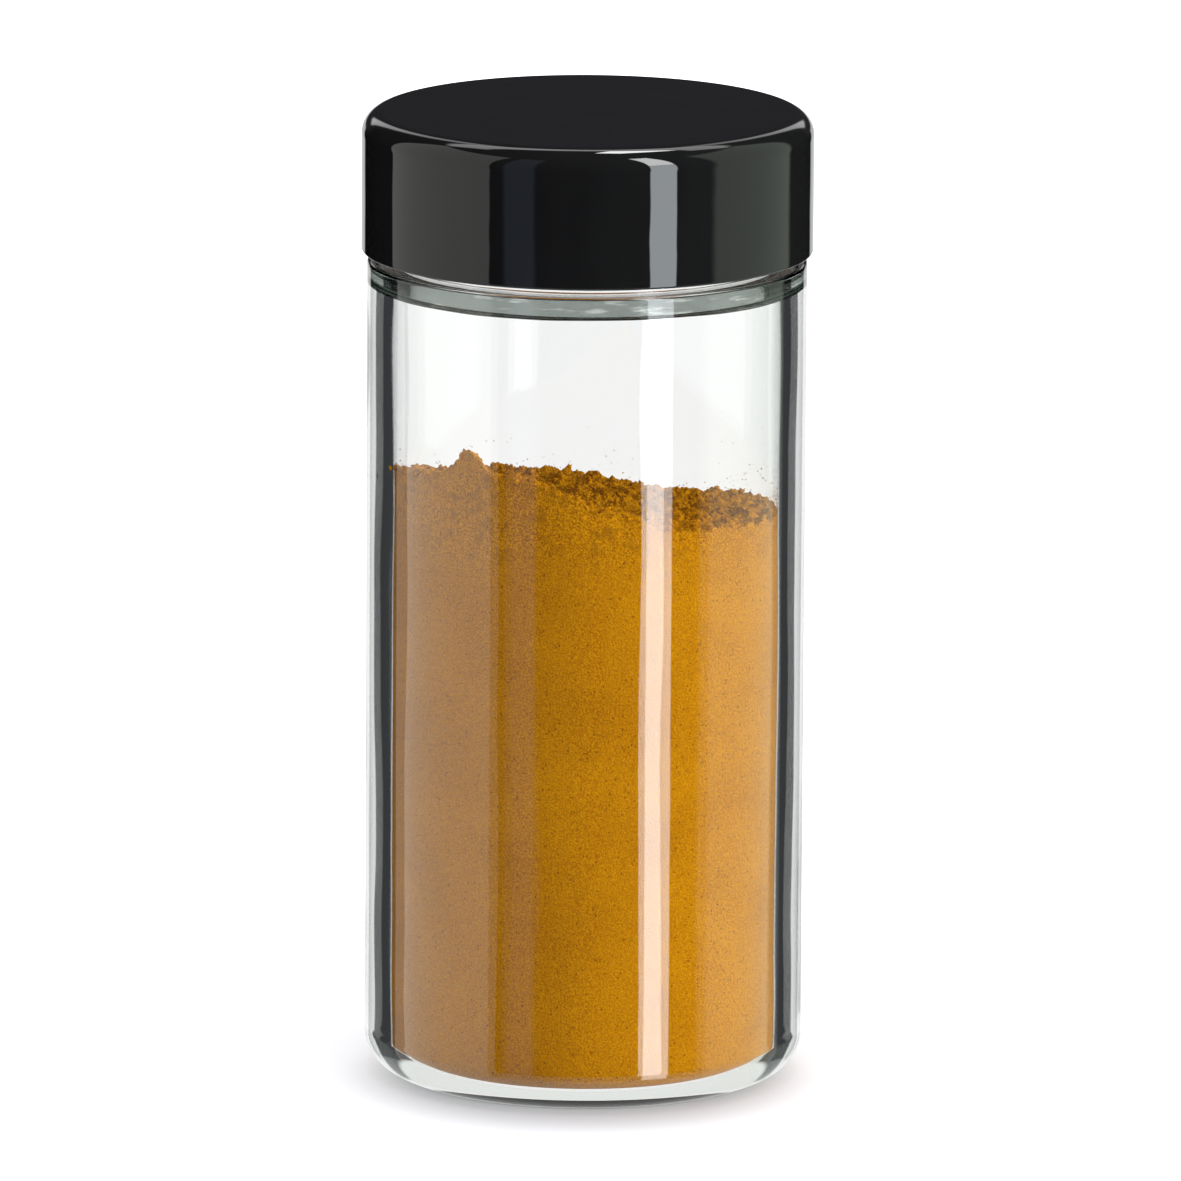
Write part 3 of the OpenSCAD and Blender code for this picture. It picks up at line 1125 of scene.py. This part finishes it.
def crumbs_tree() -> bpy.types.NodeTree:
    """Geometry Nodes that scatter lumpy crumbs over a mesh, fewer higher up."""
    inputs: dict[str, str | float] = {
        "Ground": "Geometry",
        "Density": 1e6,
        "Lowest": 0.0,
        "Upward": 0.15,
        "Fade": 1.0,
        "Smallest": 0.0001,
        "Largest": 0.001,
        "Seed": 1,
        "Material": "Material",
    }
    writer, wires, exit_node = new_group(
        "GeometryNodeTree", "scattered_crumbs", inputs, ("Crumbs", "Geometry")
    )
    height = writer.split(writer.wire("GeometryNodeInputPosition"))[2]
    upward = writer.split(writer.wire("GeometryNodeInputNormal"))[2]
    wanted = writer.math("GREATER_THAN", height, wires["Lowest"]) * writer.math(
        "GREATER_THAN", upward, wires["Upward"]
    )
    spots = writer.wire(
        "GeometryNodeDistributePointsOnFaces",
        {
            "Mesh": wires["Ground"],
            "Selection": wanted,
            "Density": wires["Density"],
            "Seed": wires["Seed"],
        },
    )
    over = writer.wire("GeometryNodeInputNamedAttribute", {"Name": "rise"}) / wires["Fade"]
    luck = writer.wire(
        "FunctionNodeRandomValue", {2: 0.0, 3: 1.0, "Seed": wires["Seed"] + 5}, 1, data_type="FLOAT"
    )
    thinned = writer.wire(
        "GeometryNodeDeleteGeometry",
        {
            "Geometry": spots,
            "Selection": writer.math("GREATER_THAN", luck, writer.math("EXPONENT", 0.0 - over)),
        },
        domain="POINT",
    )
    ball = writer.wire("GeometryNodeMeshIcoSphere", {"Radius": 1.0, "Subdivisions": 2})
    dents = writer.wire(
        "ShaderNodeTexNoise",
        {"Vector": writer.wire("GeometryNodeInputPosition"), "Scale": 1.4, "Detail": 1.0},
    )
    shape = writer.wire(
        "ShaderNodeVectorMath",
        {0: writer.wire("GeometryNodeInputPosition"), 3: dents * 1.5},
        operation="SCALE",
    )
    lump = writer.wire("GeometryNodeSetPosition", {"Geometry": ball, "Position": shape})
    chance = writer.wire(
        "FunctionNodeRandomValue", {2: 0.0, 3: 1.0, "Seed": wires["Seed"]}, 1, data_type="FLOAT"
    )
    span = wires["Largest"] - wires["Smallest"]
    size = wires["Smallest"] + span * writer.math("POWER", chance, 4.0)
    turned = writer.wire(
        "FunctionNodeRandomValue",
        {0: (0.0, 0.0, 0.0), 1: (math.tau,) * 3, "Seed": wires["Seed"]},
        data_type="FLOAT_VECTOR",
    )
    laid = writer.wire(
        "GeometryNodeInstanceOnPoints",
        {"Points": thinned, "Instance": lump, "Rotation": turned, "Scale": size},
    )
    real = writer.wire("GeometryNodeRealizeInstances", {"Geometry": laid})
    smooth = writer.wire("GeometryNodeSetShadeSmooth", {"Geometry": real})
    dressed = writer.wire(
        "GeometryNodeSetMaterial", {"Geometry": smooth, "Material": wires["Material"]}
    )
    writer.feed(exit_node.inputs[0], dressed)
    return writer.tree


@dataclass
class ScrewLid:
    """The lid's glossy shell and the threaded insert in it. Lengths are in millimetres."""

    shell_finish: BlackPlastic
    insert_finish: BlackPlastic
    turned: bpy.types.NodeTree
    shell_wall: float = 1.2
    shell_round: float = 2.5
    edge_round: float = 0.25
    insert_wall: float = 0.95
    plate: float = 1.0
    insert_round: float = 2.0
    corner: float = 0.4
    bead: float = 0.3
    thread_depth: float = 0.97
    thread_pitch: float = 4.2
    thread_turns: float = 1.3
    thread_start_z: float = 96.16
    thread_start_turn: float = -1 / 3

    def __post_init__(self) -> None:
        """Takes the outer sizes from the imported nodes."""
        low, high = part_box("lid_shell")
        self.radius = (high.x - low.x) / 2 / MM
        self.low_z, self.top_z = low.z / MM, high.z / MM
        low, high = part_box("lid_insert")
        self.insert_r = (high.x - low.x) / 2 / MM
        self.insert_low_z, self.insert_top_z = low.z / MM, high.z / MM

    def shell_outline(self) -> Outline:
        """The shell's profile, from the middle of its top round its edge and back."""
        line = Outline()
        line.to(0.0, self.top_z)
        big, small = self.shell_round, self.edge_round
        line.turn((self.radius - big, self.top_z - big), big, 90, 0, rows=20)
        line.turn((self.radius - small, self.low_z + small), small, 0, -90, rows=5)
        inner_r = self.radius - self.shell_wall
        bead_z = self.low_z + (self.insert_low_z - self.low_z) / 2
        line.to(inner_r, self.low_z)
        line.to(inner_r, bead_z - self.bead)
        line.to(inner_r - self.bead, bead_z)
        line.to(inner_r, bead_z + self.bead)
        inner_z = self.top_z - self.shell_wall
        bend = big - self.shell_wall
        line.turn((inner_r - bend, inner_z - bend), bend, 0, 90, rows=10)
        line.to(0.0, inner_z)
        return Outline(line.points[::-1])

    def insert_outline(self) -> Outline:
        """The insert's profile, from its ceiling inside round its edge to its top."""
        line = Outline()
        ceiling_z = self.insert_top_z - self.plate
        inner_r = self.insert_r - self.insert_wall
        line.to(0.0, ceiling_z)
        bend = self.corner
        line.turn((inner_r - bend, ceiling_z - bend), bend, 90, 0, rows=5)
        line.to(inner_r, self.insert_low_z, step=0.22)
        line.to(self.insert_r, self.insert_low_z)
        bend = self.insert_round
        line.turn((self.insert_r - bend, self.insert_top_z - bend), bend, 0, 90, rows=10)
        line.to(0.0, self.insert_top_z)
        return line

    def build(self) -> None:
        """Builds the shell and the insert."""
        shell = grown(
            "lid_gloss_shell",
            self.turned,
            self.shell_outline().mesh("shell_profile"),
            {"Columns": 320, "Material": self.shell_finish.material()},
        )
        settle(shell, Body.LID, Slot.SHELL, "lid_shell")
        thread = Thread(
            self.insert_r - self.insert_wall,
            -self.thread_depth,
            self.thread_start_z,
            self.thread_pitch,
            self.thread_turns,
            self.thread_start_turn,
        )
        insert = grown(
            "lid_threaded_insert",
            self.turned,
            self.insert_outline().mesh("insert_profile"),
            thread.inputs() | {"Columns": 256, "Material": self.insert_finish.material()},
        )
        settle(insert, Body.LID, Slot.INSERT, "lid_insert")


@dataclass
class SealingDisc:
    """The foam disc that the lid presses on the rim. Lengths are in millimetres."""

    finish: LinerFoam
    turned: bpy.types.NodeTree
    edge: float = 0.15

    def build(self) -> None:
        """Builds the disc with softly rounded edges."""
        low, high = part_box("lid_liner")
        radius = (high.x - low.x) / 2 / MM
        low_z, high_z = low.z / MM, high.z / MM
        edge = self.edge
        line = Outline()
        line.to(0.0, low_z)
        line.turn((radius - edge, low_z + edge), edge, -90, 0, rows=4)
        line.turn((radius - edge, high_z - edge), edge, 0, 90, rows=4)
        line.to(0.0, high_z)
        piece = grown(
            "sealing_disc",
            self.turned,
            line.mesh("disc_profile"),
            {"Columns": 192, "Material": self.finish.material()},
        )
        settle(piece, Body.LINER, Slot.FOAM, "lid_liner")


# The studio


@dataclass(frozen=True)
class Window:
    """A patch of the studio's surroundings, in degrees seen from the jar.

    Azimuth 0 is towards the camera and positive to its right.
    """

    left: float
    right: float
    low: float
    high: float
    light: Colour
    edge: float = 1.0


@dataclass
class Studio:
    """The floor, the camera, the lamps and the surroundings."""

    target: Point = (0.59, 55.0)
    distance: float = 1702.2
    elevation: float = 11.98
    roll: float = 0.35
    lens: float = 459.7
    dome: float = 0.72
    floor_size: float = 6.0
    mirrored: Sequence[Window] = (
        Window(-118, -51, -60, 50, (0.92, 0.92, 0.88), 0.6),
        Window(-43, -27, -60, 50, (0.20, 0.24, 0.33), 1.5),
        Window(32, 46, -60, 20.5, (6.1, 6.5, 6.8), 0.4),
        Window(32, 46, 21, 60, (12.0, 12.0, 12.0), 0.4),
        Window(68, 125, -60, 50, (0.66, 0.74, 0.64), 2.5),
        Window(150, 210, 0, 50, (0.03, 0.03, 0.034), 3.0),
        Window(158, 202, -60, 0, (1.0, 1.0, 1.0), 1.5),
        Window(156, 166, 10, 52, (1.3, 1.3, 1.3), 2.0),
        Window(194, 204, 10, 52, (1.3, 1.3, 1.3), 2.0),
        Window(120, 240, 51, 63, (2.6, 2.6, 2.6), 1.5),
        Window(139, 173, 64, 79, (16.0, 16.0, 16.0), 1.5),
        Window(-200, 300, -91, -24, (0.80, 0.82, 0.80), 2.0),
    )
    wandered: Sequence[Window] = (
        Window(120, 240, -1, 70, (0.60, 0.66, 0.62), 3.0),
    )
    flags: Sequence[Window] = (
        Window(120, 150, -18.5, 10, (1.0, 1.0, 1.0), 1.5),
        Window(210, 240, -18.5, 10, (1.0, 1.0, 1.0), 1.5),
        Window(120, 240, 20, 80, (1.0, 1.0, 1.0), 3.0),
    )

    def build(self) -> None:
        """Sets the studio up."""
        bpy.context.scene.view_settings.view_transform = "Standard"
        self.make_camera()
        self.make_world()
        self.make_floor()
        self.make_lamps()

    def make_camera(self) -> None:
        """Puts the camera where the photograph was taken from."""
        data = bpy.data.cameras.new("camera")
        data.lens = self.lens
        data.sensor_width = 36.0
        camera = bpy.data.objects.new("camera", data)
        bpy.context.scene.collection.objects.link(camera)
        bpy.context.scene.camera = camera
        tilt = math.radians(self.elevation)
        target = Vector((self.target[0], 0.0, self.target[1])) * MM
        back = Vector((0.0, -math.cos(tilt), math.sin(tilt)))
        turn = Matrix.Rotation(math.radians(90 - self.elevation), 4, "X")
        lean = Matrix.Rotation(math.radians(self.roll), 4, "Z")
        place = Matrix.Translation(target + back * self.distance * MM)
        camera.matrix_world = place @ turn @ lean

    def make_world(self) -> None:
        """Makes white surroundings that gloss and glass see as a studio."""
        world = bpy.data.worlds.new("studio")
        bpy.context.scene.world = world
        world.use_nodes = True
        world.node_tree.nodes.clear()
        writer = NodeWriter(world.node_tree)
        window = window_group()
        x, y, z = writer.split(writer.wire("ShaderNodeTexCoord", output="Generated"))
        azimuth = writer.math("ARCTAN2", x, 0.0 - y) * math.degrees(1)
        azimuth = azimuth + writer.math("LESS_THAN", azimuth, -120.0) * 360.0
        elevation = writer.math("ARCSINE", z) * math.degrees(1)

        def patches(windows: Sequence[Window], start: "Colour | Wire") -> Wire:
            """Lays windows over a plain colour."""
            colour: object = start
            for w in windows:
                mask = writer.place(
                    window,
                    {
                        "Azimuth": azimuth,
                        "Elevation": elevation,
                        "Left": w.left,
                        "Right": w.right,
                        "Low": w.low,
                        "High": w.high,
                        "Edge": w.edge,
                    },
                )
                colour = writer.blend(mask, colour, w.light)
            return colour

        mirrored = patches(self.mirrored, (0.0, 0.0, 0.0))
        wandering = patches(self.wandered, mirrored)
        flagged = patches(self.flags, (0.0, 0.0, 0.0))
        clear = writer.blend(flagged, (1.085, 1.08, 1.09), (0.02, 0.022, 0.024))
        paths = writer.node("ShaderNodeLightPath")
        path = {out.name: Wire(writer, out) for out in paths.outputs}
        bounced = writer.math("GREATER_THAN", path["Glossy Depth"], 0.5)
        wandering = writer.wire(
            "ShaderNodeVectorMath", {0: wandering, 1: (0.045, 0.046, 0.05)}, operation="MAXIMUM"
        )
        deep = writer.math("GREATER_THAN", path["Transmission Depth"], 3.5)
        most = writer.wire(
            "ShaderNodeVectorMath", {0: wandering, 1: (1.6, 1.6, 1.6)}, operation="MINIMUM"
        )
        wandering = writer.blend(deep, wandering, most)
        through = writer.blend(bounced, clear, wandering)
        colour = writer.blend(path["Is Glossy Ray"], (self.dome,) * 3, mirrored)
        colour = writer.blend(path["Is Transmission Ray"], colour, through)
        colour = writer.blend(path["Is Camera Ray"], colour, (1.0, 1.0, 1.0))
        sky = writer.wire("ShaderNodeBackground", {"Color": colour, "Strength": 1.0})
        exit_node = writer.node("ShaderNodeOutputWorld")
        writer.feed(exit_node.inputs["Surface"], sky)

    def make_floor(self) -> None:
        """Makes a pale floor that keeps the jar's shadow, deepened by a painted shadow where its
        glow for the camera fades out near the jar.
        """
        half = self.floor_size / 2
        mesh = bpy.data.meshes.new("floor")
        corners = [(-half, -half), (half, -half), (half, half), (-half, half)]
        mesh.from_pydata([(x, y, -0.02 * MM) for x, y in corners], [], [(0, 1, 2, 3)])
        floor = bpy.data.objects.new("floor", mesh)
        bpy.context.scene.collection.objects.link(floor)
        material, writer, exit_node = new_material("pale_floor")
        paths = writer.node("ShaderNodeLightPath")
        path = {out.name: Wire(writer, out) for out in paths.outputs}
        x, y, _ = writer.split(object_place(writer))
        # Painted shadow: no camera glow within 16 mm of a point 8 mm in front of the axis, full
        # glow past 30 mm, and more glow from 45 to 160 mm out.
        ahead = y + 8 * MM
        near = writer.math("SQRT", x * x + ahead * ahead)
        painted_shadow_glow = writer.ease(near, 16 * MM, 30 * MM) * 0.42 + writer.ease(near, 0.045, 0.16)
        lit = writer.wire("ShaderNodeBsdfDiffuse", {"Color": (0.68, 0.70, 0.745, 1)})
        glow = {"Color": (1, 1, 1, 1), "Strength": path["Is Camera Ray"] * painted_shadow_glow}
        lit = writer.wire(
            "ShaderNodeAddShader", {0: lit, 1: writer.wire("ShaderNodeEmission", glow)}
        )
        white = writer.wire("ShaderNodeEmission", {"Color": (1, 0.996, 1, 1), "Strength": 1.085})
        lit = writer.wire(
            "ShaderNodeMixShader", {0: path["Is Transmission Ray"], 1: lit, 2: white}
        )
        gone = writer.wire("ShaderNodeBsdfTransparent", {})
        bounced = writer.math("GREATER_THAN", path["Glossy Depth"], 0.5)
        surface = writer.wire("ShaderNodeMixShader", {0: bounced, 1: lit, 2: gone})
        writer.feed(exit_node.inputs["Surface"], surface)
        mesh.materials.append(material)
        floor.visible_glossy = False
        floor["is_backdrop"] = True
        self.floor = floor

    def make_lamps(self) -> None:
        """Hangs a soft lamp at the front right and two above, one of them for the floor."""
        self.lamp("key_lamp", 68.0, 16.0, 2.2, 1.4, 62.0, "EXCLUDE", (0.98, 1.05, 0.95))
        self.lamp("top_lamp", 0.0, 82.0, 1.6, 1.2, 16.0, "EXCLUDE")
        self.lamp("floor_lamp", 20.0, 86.0, 1.6, 0.5, 14.0, "INCLUDE")

    def lamp(
        self,
        name: str,
        azimuth: float,
        elevation: float,
        away: float,
        size: float,
        power: float,
        floor_link: str,
        colour: Colour = (1.0, 1.0, 1.0),
    ) -> None:
        """Hangs one square soft lamp.

        Args:
            name: The lamp's name.
            azimuth: Its direction in degrees, positive to the camera's right.
            elevation: Its angle above the floor in degrees.
            away: Its distance in metres.
            size: The length of its side in metres.
            power: Its power in watts.
            floor_link: Whether it lights only the floor or all but the floor.
            colour: Its colour.
        """
        data = bpy.data.lights.new(name, "AREA")
        data.size = size
        data.energy = power
        data.color = colour
        lamp = bpy.data.objects.new(name, data)
        bpy.context.scene.collection.objects.link(lamp)
        a, e = math.radians(azimuth), math.radians(elevation)
        out = Vector((math.sin(a) * math.cos(e), -math.cos(a) * math.cos(e), math.sin(e)))
        centre = Vector((0.0, 0.0, self.target[1] * MM))
        turn = out.to_track_quat("Z", "Y").to_matrix().to_4x4()
        lamp.matrix_world = Matrix.Translation(centre + out * away) @ turn
        lamp.visible_glossy = False
        lamp.visible_transmission = False
        lamp.visible_camera = False
        linked = bpy.data.collections.new(f"{name}_link")
        linked.objects.link(self.floor)
        linked.collection_objects[0].light_linking.link_state = floor_link
        lamp.light_linking.receiver_collection = linked


def window_group() -> bpy.types.NodeTree:
    """A mask that is 1 inside a patch of directions, with soft edges."""
    inputs = dict.fromkeys(("Azimuth", "Elevation", "Left", "Right", "Low", "High"), 0.0)
    writer, wires, exit_node = new_group(
        "ShaderNodeTree", "studio_window", {**inputs, "Edge": 1.0}, ("Mask", "Float")
    )
    mask: Wire | None = None
    for value, low, high in (("Azimuth", "Left", "Right"), ("Elevation", "Low", "High")):
        for limit, way in ((wires[low], 1.0), (wires[high], -1.0)):
            inside = (wires[value] - limit) * way
            side = writer.ease(inside, 0.0 - wires["Edge"], wires["Edge"])
            mask = side if mask is None else mask * side
    writer.feed(exit_node.inputs[0], mask)
    return writer.tree


def corners() -> list[list[float]]:
    """The shown object's lowest and highest corners, as plain numbers."""
    return [list(corner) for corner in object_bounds()]


def main() -> None:
    """Builds the jar, what is in it, its lid and the studio."""
    logging.basicConfig(level=logging.INFO, format="%(name)s: %(message)s")
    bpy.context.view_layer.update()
    effects = Effects.make()
    turned = turned_tree()
    Studio().build()
    GlassJar(ClearGlass(effects), turned).build()
    SpiceFill(GroundSpice(effects)).build()
    SealingDisc(LinerFoam(effects), turned).build()
    ScrewLid(
        BlackPlastic(effects, "gloss_black"),
        BlackPlastic(
            effects,
            "satin_white",
            black=(0.62, 0.62, 0.60),
            roughness=0.32,
            unevenness=0.1,
            grain_height=0.01 * MM,
        ),
        turned,
    ).build()


if __name__ == "__main__":
    main()
